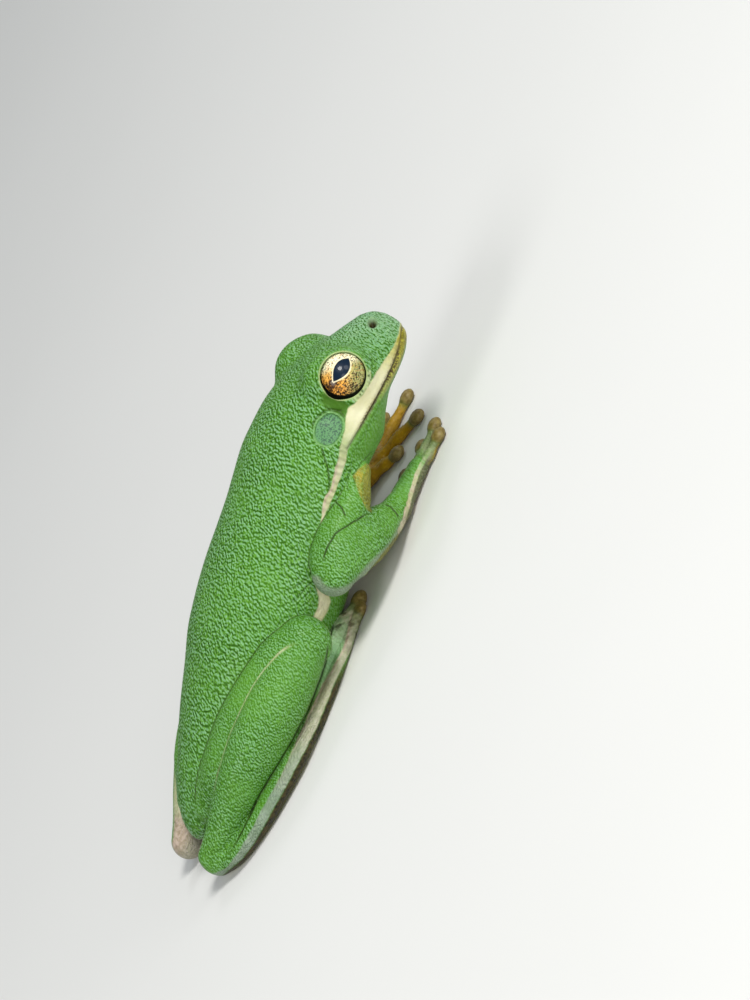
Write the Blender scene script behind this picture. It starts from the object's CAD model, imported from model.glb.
"""The looks of a resting green tree frog: one skin over its solids, and two eyes.

Design sizes are millimetres in the frog's own layout: x forward from the heels,
y towards its left, z up from the floor. SHIFT and MM carry them to the row frame.
"Out" is the distance from the midline, the same on both sides of the body.
"""

import math

import bpy
import numpy as np
from mathutils import Matrix, Vector


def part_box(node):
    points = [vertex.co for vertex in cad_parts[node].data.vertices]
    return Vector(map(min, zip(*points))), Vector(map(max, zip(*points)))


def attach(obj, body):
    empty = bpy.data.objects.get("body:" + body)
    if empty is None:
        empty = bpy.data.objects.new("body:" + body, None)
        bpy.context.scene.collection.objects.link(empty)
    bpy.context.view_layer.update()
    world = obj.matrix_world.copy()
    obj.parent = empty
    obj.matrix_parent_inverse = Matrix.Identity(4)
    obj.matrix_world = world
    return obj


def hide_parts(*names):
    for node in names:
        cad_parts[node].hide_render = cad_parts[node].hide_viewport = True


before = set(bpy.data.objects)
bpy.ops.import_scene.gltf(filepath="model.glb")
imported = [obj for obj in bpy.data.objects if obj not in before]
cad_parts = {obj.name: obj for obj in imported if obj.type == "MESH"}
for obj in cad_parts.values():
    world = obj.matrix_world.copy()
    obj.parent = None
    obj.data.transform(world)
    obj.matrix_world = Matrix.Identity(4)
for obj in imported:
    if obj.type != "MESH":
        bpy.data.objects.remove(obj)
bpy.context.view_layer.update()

MM = 0.001
RIGHT, LEFT = -1, 1
GRID_STEP = 0.165
VERTICES_AT_ONCE = 60000
FIELD_LOW = (-2.0, -13.2, -0.9)
FIELD_HIGH = (54.6, 17.0, 16.6)
# Lengths of the body that are sampled in turn: from, to, each
BODY_SLABS = (1.0, 54.0, 2.0)
EYE_REACH = 4.5
SETTLING_ROUNDS = 3
SHARE_SOFTNESS = 0.06
FAR = 1e9

# Body: x, half width, height of the widest line, top, bottom
BODY = [
    (1.8, 0.3, 2.9, 3.2, 2.6),
    (2.3, 1.7, 3.0, 4.1, 1.8),
    (3.2, 2.6, 3.3, 5.1, 1.2),
    (4.6, 3.3, 3.8, 6.2, 0.8),
    (8.0, 4.4, 4.7, 7.9, 0.2),
    (12.0, 5.6, 5.6, 9.7, -0.1),
    (16.0, 6.6, 6.3, 11.3, -0.15),
    (20.0, 7.7, 6.7, 12.8, -0.1),
    (25.0, 8.4, 7.0, 13.9, 0.4),
    (29.0, 8.4, 7.4, 14.5, 1.1),
    (33.0, 8.1, 8.1, 15.25, 2.3),
    (37.0, 7.9, 9.0, 15.95, 4.3),
    (40.0, 7.9, 9.4, 15.95, 5.1),
    (42.5, 7.75, 9.3, 15.65, 5.15),
    (45.0, 7.2, 9.1, 14.95, 6.2),
    (47.0, 6.3, 8.9, 14.05, 6.8),
    (49.0, 5.0, 8.6, 13.05, 6.75),
    (50.5, 4.0, 8.4, 12.3, 6.85),
    (51.7, 2.8, 8.4, 11.6, 7.2),
    (52.4, 1.7, 8.7, 10.85, 7.75),
    (52.75, 0.5, 9.2, 9.8, 8.7),
]
BACK_POWER = 2.0
BELLY_POWER = 1.8

# Limbs: x, out, z, half breadth, half height
LEG_BACK = {RIGHT: 0.5, LEFT: 1.2}
THIGH = [
    (6.0, 2.8, 3.6, 1.7, 1.7),
    (10.0, 4.7, 4.7, 2.5, 2.5),
    (15.0, 6.0, 5.35, 2.7, 2.85),
    (20.4, 7.6, 5.6, 2.6, 2.7),
    (23.5, 8.7, 5.0, 2.15, 2.35),
]
SHANK = [
    (22.8, 9.3, 4.7, 1.75, 2.0),
    (20.5, 9.4, 4.85, 2.0, 2.4),
    (17.0, 9.1, 4.7, 2.3, 2.75),
    (13.5, 8.6, 4.4, 2.3, 2.75),
    (10.0, 7.7, 3.9, 2.15, 2.4),
    (6.5, 6.65, 3.15, 1.85, 2.0),
    (3.5, 5.7, 2.5, 1.55, 1.55),
    (1.9, 5.1, 2.2, 1.35, 1.4),
]
TARSUS = [
    (1.7, 5.1, 1.3, 1.25, 1.25),
    (3.2, 7.1, 1.05, 1.25, 1.05),
    (5.5, 8.5, 1.05, 1.3, 1.05),
    (9.0, 9.4, 1.05, 1.5, 1.05),
    (12.5, 9.6, 1.0, 1.7, 1.0),
    (15.0, 8.9, 0.9, 2.1, 0.9),
    (18.0, 7.6, 0.75, 2.1, 0.75),
]
UPPER_ARM = [
    (38.7, 6.9, 6.9, 0.8, 0.7),
    (37.0, 7.3, 6.7, 1.35, 1.35),
    (35.0, 7.6, 6.5, 1.8, 1.8),
    (32.5, 8.3, 6.5, 2.0, 2.1),
    (30.6, 8.95, 6.4, 2.0, 2.1),
    (29.5, 9.3, 5.9, 1.8, 1.9),
]
FOREARM = {
    RIGHT: [
        (29.5, 9.8, 5.7, 1.95, 1.7),
        (31.2, 9.5, 5.5, 2.0, 2.5),
        (33.0, 8.4, 4.5, 2.05, 2.55),
        (34.8, 6.8, 3.25, 1.9, 2.2),
        (36.2, 5.4, 2.2, 1.55, 1.6),
        (37.4, 4.4, 1.6, 1.3, 1.25),
    ],
    LEFT: [
        (29.5, 9.8, 5.7, 1.95, 1.7),
        (31.4, 10.0, 4.8, 2.0, 2.2),
        (33.4, 10.1, 3.6, 1.95, 2.1),
        (35.2, 10.1, 2.4, 1.6, 1.7),
        (36.8, 10.1, 1.6, 1.35, 1.25),
    ],
}
PALM = {
    RIGHT: [
        (37.2, 4.5, 1.6, 1.3, 1.2),
        (39.2, 3.0, 1.15, 1.5, 1.1),
        (41.2, 2.2, 0.9, 1.5, 0.85),
    ],
    LEFT: [
        (36.6, 10.1, 1.6, 1.3, 1.2),
        (38.6, 10.0, 1.05, 1.6, 0.95),
        (40.4, 9.9, 0.75, 1.6, 0.7),
    ],
}
# Digits: x, out of the knuckle, of the bend, and of the disc
TOES = [
    ((16.0, 7.2), (18.2, 5.6), (19.8, 4.5)),
    ((16.8, 7.4), (20.0, 5.6), (22.8, 4.4)),
    ((17.6, 7.8), (22.0, 5.6), (26.4, 4.1)),
    ((18.0, 8.3), (24.0, 5.7), (28.7, 4.0)),
    ((17.4, 8.9), (22.8, 7.4), (28.0, 5.0)),
]
# The two outer toes, pressed together on edge: x, out, z, half breadth, half height
OUTER_TOES = {
    3: [
        (16.0, 8.3, 0.95, 1.2, 0.9),
        (20.0, 7.3, 1.1, 1.0, 1.05),
        (23.0, 6.2, 1.2, 1.0, 1.15),
        (25.3, 5.4, 1.2, 0.95, 1.1),
        (27.0, 4.7, 0.9, 0.75, 0.8),
        (28.4, 4.1, 0.6, 0.5, 0.5),
    ],
    4: [
        (15.5, 9.2, 0.8, 1.3, 0.8),
        (19.5, 8.7, 0.72, 0.95, 0.7),
        (23.0, 7.4, 0.66, 0.72, 0.62),
        (25.5, 6.2, 0.6, 0.6, 0.55),
        (27.6, 5.2, 0.5, 0.5, 0.45),
    ],
}
FINGERS = {
    RIGHT: [
        ((38.8, 2.4), (39.5, 0.6), (40.3, -1.0)),
        ((40.8, 1.8), (42.2, 0.7), (43.4, -0.6)),
        ((41.4, 2.0), (43.6, 0.8), (45.7, -0.2)),
        ((41.0, 2.9), (43.0, 2.7), (45.0, 2.2)),
    ],
    LEFT: [
        ((39.0, 9.0), (40.5, 7.7), (41.9, 6.3)),
        ((40.6, 9.2), (43.4, 7.9), (45.8, 6.0)),
        ((41.0, 10.1), (44.0, 11.2), (47.1, 11.5)),
        ((40.2, 10.9), (42.4, 12.9), (44.2, 14.6)),
    ],
}
# Between which two joints of a digit, how far along, height, swelling and flatness
DIGIT_ROWS = (
    (0, 1, 0, 0.85, 1.1, 0.95),
    (0, 1, 0.5, 0.72, 0.86, 0.95),
    (0, 1, 1, 0.62, 1.04, 0.95),
    (1, 2, 0.5, 0.54, 0.8, 0.9),
    (1, 2, 0.85, 0.5, 0.84, 0.9),
)
TOE_RADIUS = 0.5
FINGER_RADIUS = {RIGHT: 0.56, LEFT: 0.62}
TOE_DISC = (0.9, 0.76, 0.5)
OUTER_TOE_DISC = (1.1, 0.85, 0.68)
HEEL_DROP = {RIGHT: 0.0, LEFT: 0.35}
FINGER_DISC = (0.9, 0.8, 0.58)

ORBIT = (45.62, 5.0, 12.1)
EYE_LOOKS = (0.05, 0.93, 0.33)
EYE_NODE_DEPTH = 1.2
EYEBALL_DEPTH = 0.45
EYEBALL_RADIUS = 2.35
EYEBALL_END = math.pi * 0.62
CORNEA_RISE = 0.06
CORNEA_WIDTH = 1.3
LID_RADIUS = 2.93
LID_OPENING = (2.14, 2.06)
BROW = (44.8, 4.7, 12.75)
BROW_RADIUS = 2.8
PUPIL_CENTRE = (0.42, 0.38)
PUPIL_TILT = math.radians(-5)
PUPIL_FRONT = 1.22
PUPIL_BACK = 1.36
PUPIL_HALF_HEIGHT = 0.66
IRIS_CENTRE = (0.17, 0.13)
NOSTRIL = (51.25, 10.28)
BEAD_LENGTH = 0.66
TOE_WRINKLE_LENGTH = 0.6
HAND_WRINKLE_LENGTH = 0.34
EARDRUM = (40.85, 9.45)
EARDRUM_RADII = (1.58, 1.27)
EARDRUM_POWER = 2.3

# The photograph's view: the frog leans in it as the leaf did
TARGET = np.array((37.08, -5.0, 4.06))
DISTANCE = 450.0
PICTURE_HEIGHT = 91.2
SENSOR_WIDTH = 36
TARGET_SEEN = (37.08, 2.72)
UPWARD = np.array((0.0, 0.309, 0.951))
BACKWARD = np.array((0.0, -0.951, 0.309))
FORWARD_IN_PICTURE = (0.4586, 0.8886)  # to the right, up

# Grain in the material: noise scales for body and limbs, then in metres the step that
# finds a grain's front and hind slopes, and the grain's height
GRAIN_SCALES = (4300, 5500)
GRAIN_WIDTH = 0.85
GRAIN_STEP = 0.00007
BUMP_HEIGHT = 0.00015

# Lines on the right side as the camera sees them, forward and up, in millimetres
STRIPE_TOP = [
    (32.8, 6.1), (33.5, 6.35), (34.5, 6.7), (35.2, 6.9), (36, 6.75), (37, 7.0),
    (38, 7.25), (39, 7.4), (39.8, 7.75), (40.5, 7.9), (41.5, 8.1), (42.5, 8.5),
    (43.3, 8.7), (44.2, 8.4), (45.2, 8.15), (47, 8.0), (48.5, 7.8), (50.2, 7.6),
    (51.5, 7.75), (52.7, 8.1),
]
STRIPE_BOTTOM = [
    (32.8, 6.0), (34, 6.15), (36, 6.25), (37, 6.4), (38, 6.5), (39, 6.7), (40, 7.05),
    (42, 6.93), (44, 6.86), (47.4, 6.78), (49, 6.87), (50.2, 7.05), (51.2, 7.3),
    (52, 7.6), (52.7, 7.9),
]
MOUTH = [
    (40.0, 7.08), (42, 6.93), (44, 6.86), (47.4, 6.78), (49, 6.87), (50.2, 7.05),
    (51.2, 7.32), (52, 7.62), (53, 8.0),
]
CREAM_PATCH_TOP = [(24.8, 2.8), (26, 2.8), (26.8, 3.15), (27.5, 3.8), (28.6, 4.9)]
CREAM_PATCH_BOTTOM = [(24.8, 2.0), (26, 1.9), (27, 2.05), (27.6, 2.6), (28.6, 3.6)]
FOOT_GREEN_EDGE = [
    (-0.5, 0.7), (0.2, 0.0), (1, -0.6), (2.5, -0.9), (4, -0.98), (6, -1.05),
    (8, -1.15), (12, -1.2), (14, -1.05), (17, -0.9), (20, -0.85), (22, -0.95),
    (24, -0.9), (25.5, -0.55), (26.6, -0.2), (28, 0.1),
]
FOOT_WHITE_EDGE = [
    (-0.5, -0.3), (0.5, -0.75), (1.5, -1.15), (2.5, -1.55), (4, -1.8), (6, -1.98),
    (8, -2.05), (12, -2.12), (16, -2.1), (18, -1.95), (20, -1.75), (22, -1.62),
    (24, -1.6), (25.5, -1.35), (28, -0.95),
]
ARM_EDGE = [
    (27.9, 4.2), (27.6, 3.6), (27.45, 3), (27.8, 1.9), (28.4, 1.1),
    (29.3, 0.5), (31, 0.1), (33, -0.5), (34.5, -0.9), (36, -0.95), (37, -0.85),
]
HAND_STRIPE = [(35.5, -0.6), (36.6, -0.5), (38, -0.2), (39.5, 0.1), (41, 0.4), (42.5, 0.42)]
HAND_EDGE = [(36, -0.95), (37, -0.8), (38.5, -0.5), (40, -0.15), (41.5, 0.02), (44.3, -0.05)]
ARM_BROWN = [
    (28.5, 1.05), (29.5, 0.75), (31.4, 0.2), (33, -0.05), (34, -0.3), (35, -0.45), (36, -0.5),
]
ARM_UNDER = [(35.9, 2.6), (36.2, 3.1), (36.7, 3.73), (37.6, 4.36), (38.3, 4.63), (39.7, 4.9)]
ARMPIT_TOP = [(35.9, 2.9), (36.8, 4.15), (37.6, 4.95), (38.1, 5.5), (38.8, 5.35), (39.7, 4.95)]
# Parts that press together in a dark line, and from where to where it shows
PRESSED = (
    ("body", "thigh", 4.5, 60),
    ("body", "shank", 4.0, 60),
    ("body", "upper_arm", 27.0, 37.2),
    ("body", "forearm", 27.0, 60),
    ("body", "tarsus", 3.0, 60),
    ("thigh", "tarsus", 3.0, 60),
)
# Folds: where they run, how deep, how wide, how dark, and which parts they are on
FOLDS = (
    ([(39.3, 9.4), (38.5, 8.7), (37.6, 7.8), (36.6, 7.1), (35.6, 6.7)], 0.12, 0.1, 0.7, ("body",)),
    ([(42.55, 10.9), (42.45, 10.3), (42.6, 9.6), (43.0, 9.0)], 0.1, 0.12, 0.5, ("body",)),
    ([(35.35, 6.1), (35.1, 5.2), (34.5, 4.35)], 0.05, 0.06, 1.0, ("upper_arm", "forearm")),
    (
        [
            (29.8, 4.2), (30.3, 4.5), (31.3, 4.62), (32.6, 4.54), (33.2, 4.27),
            (33.9, 3.82), (34.9, 3.2), (35.8, 2.66),
        ],
        0.08, 0.09, 1.0, ("upper_arm", "forearm"),
    ),
    (
        [
            (1.5, -0.15), (2.6, -0.32), (4, -0.35), (8.5, -0.3), (12, -0.55), (14.2, -0.69),
            (17, -0.66), (20.4, -0.33), (22, -0.05), (23.5, 0.43), (25.2, 0.9), (27.6, 1.1),
        ],
        0.07, 0.09, 1.0, ("shank", "tarsus", "toe"),
    ),
    ([(37.15, 1.8), (37.2, 1.2), (36.95, 0.5), (36.65, 0.0)], 0.05, 0.06, 0.9, ("forearm", "palm")),
    ([(23.1, 2.1), (23.2, 1.5), (23.35, 0.9)], 0.05, 0.07, 0.9, ("shank",)),
    ([(28.6, 4.5), (27.2, 5.2), (26.0, 6.1)], 0.06, 0.12, 0.4, ("body",)),
    ([(25.3, 5.0), (27.2, 4.6), (28.2, 4.1)], 0.05, 0.1, 0.4, ("body",)),
    (
        [(37.3, 4.9), (38.3, 5.5), (39.6, 5.35), (41.0, 4.95)],
        0.05, 0.07, 0.5, ("body", "upper_arm"),
    ),
    ([(36.6, 5.3), (37.5, 5.75), (38.7, 5.9)], 0.04, 0.07, 0.4, ("body", "upper_arm")),
)


# Small helpers


def unit(vector):
    vector = np.asarray(vector, float)
    return vector / np.linalg.norm(vector)


def sided(point, side):
    return np.array((point[0], point[1] * side, point[2]), float)


def ramp(values, low, high):
    """0 below low, 1 above high, and smooth between them."""
    t = np.clip((values - low) / (high - low), 0, 1)
    return t * t * (3 - 2 * t)


def bell(values, width):
    return np.exp(-((values / width) ** 2))


def smooth(knots, values, at):
    """A monotone cubic through the values at the knots, read at the given places."""
    knots, values = np.asarray(knots, float), np.asarray(values, float)
    step = np.diff(knots)
    slope = np.diff(values) / step
    tangent = np.concatenate([slope[:1], np.zeros(len(slope) - 1), slope[-1:]])
    same = slope[:-1] * slope[1:] > 0
    pair = np.where(same, slope[:-1] + slope[1:], 1.0)
    tangent[1:-1] = np.where(same, 2 * slope[:-1] * slope[1:] / pair, 0.0)
    index = np.clip(np.searchsorted(knots, at) - 1, 0, len(step) - 1)
    width = step[index]
    t = (at - knots[index]) / width
    start, end = values[index], values[index + 1]
    return (
        (2 * t**3 - 3 * t**2 + 1) * start
        + (t**3 - 2 * t**2 + t) * width * tangent[index]
        + (3 * t**2 - 2 * t**3) * end
        + (t**3 - t**2) * width * tangent[index + 1]
    )


def spread(rows, count):
    """The rows of a table, resampled smoothly at equal steps along its path."""
    rows = np.asarray(rows, float)
    along = np.concatenate(
        [[0.0], np.cumsum(np.linalg.norm(np.diff(rows[:, :3], axis=0), axis=1))]
    )
    at = np.linspace(0.0, along[-1], count)
    return np.stack([smooth(along, column, at) for column in rows.T], axis=1)


def hashed(cells, salt):
    """A steady random number from 0 to 1 for each whole-numbered cell."""
    x, y, z = cells.T
    mixed = (x * 73856093) ^ (y * 19349663) ^ (z * 83492791) ^ (salt * 2654435761)
    mixed = ((mixed ^ (mixed >> 13)) * 1274126177 + 374761393) & 0x7FFFFFFFFFFF
    return ((mixed >> 9) & 0xFFFF) / 65535.0


def value_noise(points, size, salt):
    """Smooth random values from -1 to 1 that change over the given size."""
    scaled = points / size
    base = np.floor(scaled).astype(np.int64)
    part = scaled - base
    part = part * part * (3 - 2 * part)
    total = np.zeros(len(points))
    for corner in np.ndindex(2, 2, 2):
        weight = np.prod(np.where(corner, part, 1 - part), axis=1)
        total += weight * hashed(base + np.array(corner), salt)
    return total * 2 - 1


def line_gap(places, line):
    """Distance of 2-D places to a line of points, and how far along it they lie."""
    line = np.asarray(line, float)
    best = np.full(len(places), FAR)
    along = np.zeros(len(places))
    lengths = np.linalg.norm(np.diff(line, axis=0), axis=1)
    start = 0.0
    for first, second, length in zip(line, line[1:], lengths):
        step = second - first
        t = np.clip(((places - first) @ step) / (length * length), 0, 1)
        gap = np.linalg.norm(places - first - t[:, None] * step, axis=1)
        closer = gap < best
        best = np.where(closer, gap, best)
        along = np.where(closer, start + t * length, along)
        start += length
    return best, along / start


# Shape fields


def merge(first, second, ease):
    """The lower of two fields, rounded where they meet."""
    reach = np.maximum(ease - np.abs(first - second), 0)
    return np.minimum(first, second) - reach * reach / (4 * np.maximum(ease, 1e-6))


def carve(field, cutter, ease):
    """The field with the cutter's inside taken away and the edge rounded."""
    return -merge(-field, cutter, ease)


def oval_gap(across, up, breadth, height):
    """Distance to an upright oval's outline, true close to it."""
    reach = np.hypot(across / breadth, up / height)
    slope = np.hypot(across / breadth**2, up / height**2)
    return reach * (reach - 1) / np.maximum(slope, 1e-6)


BODY_X = np.linspace(BODY[0][0], BODY[-1][0], 900)
BODY_COLUMNS = np.array(BODY).T
BODY_FORM = [smooth(BODY_COLUMNS[0], column, BODY_X) for column in BODY_COLUMNS[1:]]


def body_reach(x, out, z):
    """1 on the body's outline, less inside it and more outside."""
    width, widest, top, bottom = (np.interp(x, BODY_X, form) for form in BODY_FORM)
    over = z > widest
    height = np.where(over, top - widest, widest - bottom)
    power = np.where(over, BACK_POWER, BELLY_POWER)
    sideways = np.maximum(out / width, 1e-9) ** power
    upward = np.maximum(np.abs(z - widest) / height, 1e-9) ** power
    return (sideways + upward) ** (1 / power)


def trunk_gap(points):
    """Distance to the head and trunk before the eyes are added."""
    x = np.clip(points[:, 0], BODY_X[0] + 0.02, BODY_X[-1] - 0.02)
    out, z = np.abs(points[:, 1]), points[:, 2]
    nudge = 0.02
    reach = body_reach(x, out, z)
    slopes = [
        body_reach(x + nudge, out, z) - body_reach(x - nudge, out, z),
        body_reach(x, out + nudge, z) - body_reach(x, np.abs(out - nudge), z),
        body_reach(x, out, z + nudge) - body_reach(x, out, z - nudge),
    ]
    steep = np.sqrt(sum(s * s for s in slopes)) / (2 * nudge)
    gap = (reach - 1) / np.maximum(steep, 0.02)
    past = np.abs(points[:, 0] - x)
    return np.where(past > 0, np.hypot(np.maximum(gap, 0), past), gap)


EYE_AXES = {}
for eye_side in (RIGHT, LEFT):
    looks = unit(sided(EYE_LOOKS, eye_side))
    ahead = unit(np.array((1.0, 0, 0)) - looks * looks[0])
    above = np.cross(ahead, looks) * eye_side
    EYE_AXES[eye_side] = np.array((ahead, above * np.sign(above[2]), looks))


def head_gap(points):
    """Head and trunk with the swellings over the eyes."""
    field = trunk_gap(points)
    for side in (RIGHT, LEFT):
        near = points[:, 1] * side > -1.5
        near &= points[:, 0] > 40
        some = points[near]
        lid = np.linalg.norm(some - sided(ORBIT, side), axis=1) - LID_RADIUS
        brow = np.linalg.norm(some - sided(BROW, side), axis=1) - BROW_RADIUS
        field[near] = merge(field[near], merge(lid, brow, 0.6), 1.3)
    return field


def socketed(field, points):
    """The field with both eye openings cut through the lids."""
    for side in (RIGHT, LEFT):
        centre = sided(ORBIT, side)
        local = (points - centre) @ EYE_AXES[side].T
        near = np.linalg.norm(local, axis=1) < EYE_REACH
        x, y, z = local[near].T
        wide, high = LID_OPENING
        bore = oval_gap(x, y, wide, high)
        bore = np.maximum(bore, 1.2 - z)
        ball = np.sqrt(x * x + y * y + (z - EYEBALL_DEPTH) ** 2)
        cut = carve(field[near], bore, 0.3)
        field[near] = carve(cut, ball - EYEBALL_RADIUS - 0.03, 0.05)
    return field


class Limb:
    """A length of limb: a path with an oval section that changes along it."""

    def __init__(self, name, rows, side, steps, joint=None, joint_ease=0.0, reach=2.0):
        self.name = name
        self.side = side
        table = spread(rows, steps)
        table[:, 1] *= side
        self.path, self.half = table[:, :3], table[:, 3:5]
        margin = self.half.max() + 1.2
        self.low = self.path.min(axis=0) - margin
        self.high = self.path.max(axis=0) + margin
        self.joint = None if joint is None else sided(joint, side)
        self.joint_ease = joint_ease
        self.joint_reach = reach
        self.crease = 0.1

    def near(self, points):
        inside = (points > self.low) & (points < self.high)
        return inside.all(axis=1)

    def gap_along(self, points):
        """Distance to this length, and how far along it each point lies."""
        best = np.full(len(points), FAR)
        offset = np.zeros_like(points)
        half = np.zeros((len(points), 2))
        along = np.zeros(len(points))
        count = len(self.path) - 1
        for i in range(count):
            first, step = self.path[i], self.path[i + 1] - self.path[i]
            t = np.clip(((points - first) @ step) / (step @ step), 0, 1)
            away = points - first - t[:, None] * step
            squared = (away * away).sum(axis=1)
            closer = squared < best
            best[closer] = squared[closer]
            offset[closer] = away[closer]
            share = t[closer, None]
            half[closer] = self.half[i] * (1 - share) + self.half[i + 1] * share
            along[closer] = (i + t[closer]) / count
        flat = np.hypot(offset[:, 0], offset[:, 1])
        return oval_gap(flat, offset[:, 2], half[:, 0], half[:, 1]), along

    def ease(self, points):
        """How softly this length runs into the rest of the frog at each point."""
        ease = np.full(len(points), self.crease)
        if self.joint is not None:
            gap = np.linalg.norm(points - self.joint, axis=1)
            ease += self.joint_ease * bell(gap, self.joint_reach)
        return ease


class Disc:
    """The flat round pad at the tip of a finger or toe."""

    def __init__(self, name, place, heading, side, radii):
        self.name = name
        self.side = side
        self.radii = np.array(radii)
        self.centre = np.array((place[0], place[1] * side, radii[2] - 0.02))
        ahead = unit((heading[0], heading[1] * side, -0.12))
        across = unit(np.cross((0, 0, 1.0), ahead))
        self.axes = np.array((ahead, across, np.cross(ahead, across)))
        self.low = self.centre - 2.0
        self.high = self.centre + 2.0

    near = Limb.near

    def gap_along(self, points):
        local = (points - self.centre) @ self.axes.T
        reach = np.linalg.norm(local / self.radii, axis=1)
        slope = np.linalg.norm(local / np.square(self.radii), axis=1)
        return reach * (reach - 1) / np.maximum(slope, 1e-6), np.zeros(len(points))

    def ease(self, points):
        return np.full(len(points), 0.3)


def digit(name, joints, side, radius, disc, outer=None):
    """A finger or toe, swollen at its joints or with given rows, and its disc."""
    knuckle, bend, tip = (np.array(j, float) for j in joints)
    if outer is not None:
        length = Limb(name, outer, side, 14, (*knuckle, 0.8), 0.8, 1.8)
    else:
        rows = []
        for first, last, share, z, swell, flat in DIGIT_ROWS:
            start, end = joints[first], joints[last]
            place = np.array(start, float) + (np.array(end, float) - start) * share
            rows.append((*place, z, radius * swell, radius * swell * flat))
        length = Limb(name, rows, side, 9, (*knuckle, 0.8), 0.5, 1.2)
    length.crease = 0.12
    return [length, Disc(name + "_disc", tip, tip - bend, side, disc)]


def drawn_back(rows, side):
    """Rows of a hind leg, moved back as far as that leg lies."""
    return [(x - LEG_BACK[side], *others) for x, *others in rows]


def limbs(side):
    """Every length of the limbs of one side, from the body outwards."""
    back = LEG_BACK[side]
    thigh = Limb("thigh", drawn_back(THIGH, side), side, 20, (7 - back, 3.2, 4), 1.6, 3.0)
    shank_rows = drawn_back(SHANK, side)
    for row, share in ((-3, 0.3), (-2, 0.8), (-1, 1.0)):
        x, out, z, *half = shank_rows[row]
        shank_rows[row] = (x, out, z - share * HEEL_DROP[side], *half)
    shank = Limb("shank", shank_rows, side, 26, (23.6 - back, 9.2, 4.6), 1.6, 2.6)
    tarsus = Limb("tarsus", drawn_back(TARSUS, side), side, 24, (1.6 - back, 5.2, 1.9), 1.2, 1.5)
    upper = Limb("upper_arm", UPPER_ARM, side, 14, (38.6, 6.6, 6.2), 1.6, 2.3)
    fore = Limb("forearm", FOREARM[side], side, 16, (28.8, 9.6, 5.2), 0.8, 1.5)
    fore.crease = 0.6
    wrist = FOREARM[side][-1]
    palm = Limb("palm", PALM[side], side, 8, wrist[:3], 1.0, 1.6)
    made = [thigh, shank, tarsus]
    for number, joints in enumerate(TOES):
        outer = drawn_back(OUTER_TOES[number], side) if number in OUTER_TOES else None
        disc = OUTER_TOE_DISC if number == 3 else TOE_DISC
        made += digit(f"toe{number}", drawn_back(joints, side), side, TOE_RADIUS, disc, outer)
    made += [upper, fore, palm]
    for number, joints in enumerate(FINGERS[side]):
        made += digit(f"finger{number}", joints, side, FINGER_RADIUS[side], FINGER_DISC)
    return made


PARTS = limbs(RIGHT) + limbs(LEFT)


# Skin mesh


def sampled_field():
    """The whole frog's field on an even grid, with the grid's corner."""
    axes = [np.arange(a, b, GRID_STEP) for a, b in zip(FIELD_LOW, FIELD_HIGH)]
    values = np.full([len(a) for a in axes], 5.0, np.float32)

    def window(box_low, box_high):
        cuts, local = [], []
        for axis, start, end in zip(axes, box_low, box_high):
            first = np.searchsorted(axis, start)
            last = np.searchsorted(axis, end)
            cuts.append(slice(first, last))
            local.append(axis[first:last])
        grid = np.meshgrid(*local, indexing="ij")
        return tuple(cuts), np.stack([g.ravel() for g in grid], axis=1)

    for start in np.arange(*BODY_SLABS):
        end = start + BODY_SLABS[2]
        cuts, points = window((start, -10, FIELD_LOW[2]), (end, 10, FIELD_HIGH[2]))
        values[cuts] = head_gap(points).reshape(values[cuts].shape)
    for part in PARTS:
        cuts, points = window(part.low, part.high)
        before = values[cuts].ravel()
        both = merge(before, part.gap_along(points)[0], part.ease(points))
        values[cuts] = both.reshape(values[cuts].shape)
    for side in (RIGHT, LEFT):
        centre = sided(ORBIT, side)
        cuts, points = window(centre - EYE_REACH - 0.1, centre + EYE_REACH + 0.1)
        cut = socketed(values[cuts].ravel(), points)
        values[cuts] = cut.reshape(values[cuts].shape)
    return values, np.array(FIELD_LOW)


def surface_nets(values, corner):
    """Vertices and quads along the zero level of a sampled field."""
    inside = values < 0
    size = np.array(values.shape) - 1
    count = np.zeros(size, np.int8)
    for dx, dy, dz in np.ndindex(2, 2, 2):
        count += inside[dx : dx + size[0], dy : dy + size[1], dz : dz + size[2]]
    active = (count > 0) & (count < 8)
    cells = np.argwhere(active)
    index = np.full(active.shape, -1, np.int64)
    index[active] = np.arange(len(cells))
    total = np.zeros((len(cells), 3))
    hits = np.zeros(len(cells))
    for axis in range(3):
        others = [a for a in range(3) if a != axis]
        for i, j in np.ndindex(2, 2):
            start = np.zeros(3, np.int64)
            start[others[0]], start[others[1]] = i, j
            end = start.copy()
            end[axis] = 1
            first = values[tuple((cells + start).T)]
            last = values[tuple((cells + end).T)]
            crossed = (first < 0) != (last < 0)
            gap = np.where(crossed, first - last, 1.0)
            share = np.where(crossed, first / gap, 0.0)
            place = start + share[:, None] * (end - start)
            total += place * crossed[:, None]
            hits += crossed
    vertices = corner + GRID_STEP * (cells + total / hits[:, None])
    quads = []
    for axis in range(3):
        second, third = (axis + 1) % 3, (axis + 2) % 3
        low_cut = [slice(1, -1)] * 3
        high_cut = [slice(1, -1)] * 3
        low_cut[axis], high_cut[axis] = slice(0, -1), slice(1, None)
        lower, upper = inside[tuple(low_cut)], inside[tuple(high_cut)]
        for from_inside in (True, False):
            edges = np.argwhere((lower == from_inside) & (upper != from_inside))
            edges += np.array([0 if a == axis else 1 for a in range(3)])
            ring = []
            for i, j in ((0, 0), (1, 0), (1, 1), (0, 1)):
                back = np.zeros(3, np.int64)
                back[second], back[third] = -i, -j
                ring.append(index[tuple((edges + back).T)])
            if not from_inside:
                ring.reverse()
            quads.append(np.stack(ring, axis=1))
    return vertices, np.concatenate(quads)


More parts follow.
